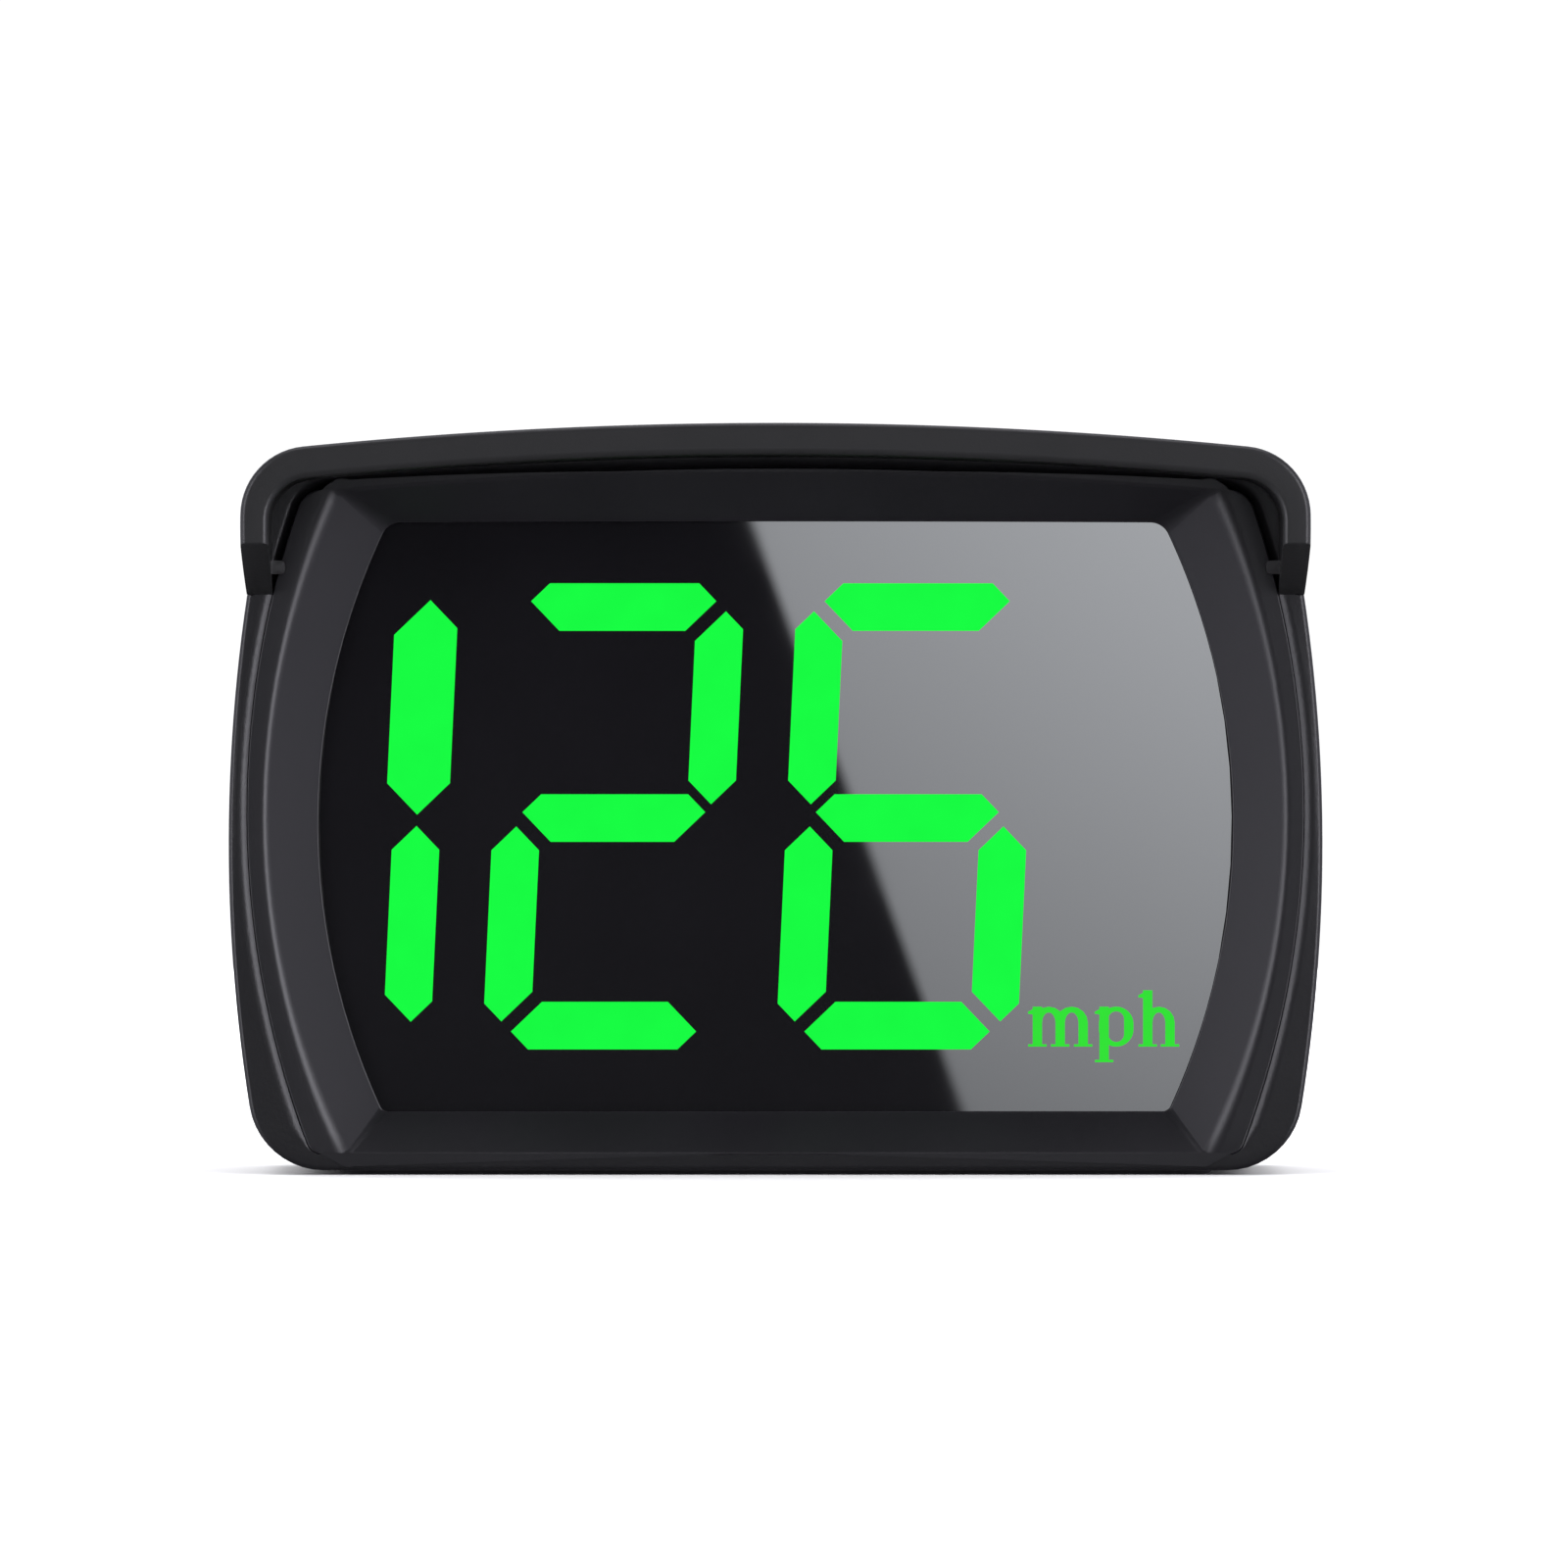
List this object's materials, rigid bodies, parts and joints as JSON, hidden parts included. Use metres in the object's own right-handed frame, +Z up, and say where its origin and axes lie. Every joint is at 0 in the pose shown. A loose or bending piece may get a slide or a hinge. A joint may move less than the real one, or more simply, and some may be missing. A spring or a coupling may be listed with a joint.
{
  "type": "head-up speedometer",
  "caption": "Small hooded dashboard speedometer with a barrel-shaped case, a bevelled window with seven-segment digits, and a rear cover with its controls.",
  "frame": {"origin": "under the middle of the bounding box, on the surface that the case stands on", "axes": "+X to the right as seen from the front, +Y from the display towards the back, +Z up"},
  "size_m": [0.065, 0.03, 0.0445],
  "materials": {
    "case_plastic": "black ABS with a fine moulded grain",
    "bezel_plastic": "black ABS, satin, finer grain than the case",
    "hood_plastic": "black ABS, satin, with a fine grain",
    "pad_rubber": "soft black silicone, slightly tacky",
    "tape_foam": "black double-sided tape",
    "window_panel": "polished black acrylic, with the light places moulded in flush",
    "mask_film": "matt black printed film",
    "white_plastic": "white reflective plastic",
    "lit_segments": "lit green diffuser",
    "dark_segments": "unlit smoked diffuser",
    "lit_legend": "lit green diffuser behind the printed film",
    "circuit_board": "green solder mask on glass-epoxy board",
    "led_epoxy": "clear pale yellow resin",
    "chip_epoxy": "black moulded resin",
    "control_plastic": "black nylon, satin",
    "cell_steel": "nickel-plated steel",
    "gold_pins": "gold flash on brass",
    "tinned_steel": "tinned steel",
    "antenna_ceramic": "fired beige ceramic",
    "ferrite": "dark grey ferrite",
    "capacitor_can": "drawn aluminium can",
    "capacitor_ceramic": "tan ceramic",
    "screw_steel": "zinc-plated steel",
    "black_steel": "black oxide steel"
  },
  "bodies": {
    "case": {"front_shell": "case_plastic", "front_bezel": "bezel_plastic", "hood": "hood_plastic", "rear_cover": "case_plastic", "base_pad": "pad_rubber", "lens_tape": "tape_foam", "window_lens": "window_panel", "segment_mask": "mask_film", "light_box": "white_plastic", "digit_hundreds": "lit_segments", "digit_tens": "lit_segments", "digit_units": "lit_segments", "unlit_segments": "dark_segments", "mph_legend": "lit_legend", "display_board": "circuit_board", "segment_leds": "led_epoxy", "display_driver": "chip_epoxy", "led_resistors": "chip_epoxy", "buzzer": "control_plastic", "backup_cell": "cell_steel", "main_header": "control_plastic", "main_header_pins": "gold_pins", "antenna_header": "control_plastic", "antenna_header_pins": "gold_pins", "antenna_board": "circuit_board", "gnss_module": "circuit_board", "gnss_shield": "tinned_steel", "patch_antenna": "antenna_ceramic", "antenna_electrode": "tinned_steel", "main_board": "circuit_board", "microcontroller": "chip_epoxy", "crystal": "tinned_steel", "voltage_regulator": "chip_epoxy", "power_inductor": "ferrite", "electrolytic_capacitor": "capacitor_can", "chip_capacitors": "capacitor_ceramic", "usb_socket_shell": "tinned_steel", "usb_socket_tongue": "control_plastic", "tact_switch_body": "control_plastic", "slide_switch_body": "tinned_steel", "display_screws": "screw_steel", "board_screws": "screw_steel", "case_screws": "black_steel"},
    "mode_button": {"mode_button": "control_plastic", "switch_plunger": "control_plastic"},
    "power_slider": {"power_slider": "control_plastic", "slide_switch_lever": "control_plastic"}
  },
  "joints": [
    {"name": "mode_press", "type": "slide", "parent": "case", "child": "mode_button", "axis": [0, -1, 0], "range_m": [0, 0.0004], "stiffness_N_per_m": 2500, "springref_m": -0.0002},
    {"name": "power_slide", "type": "slide", "parent": "case", "child": "power_slider", "axis": [1, 0, 0], "range_m": [0, 0.002]}
  ]
}
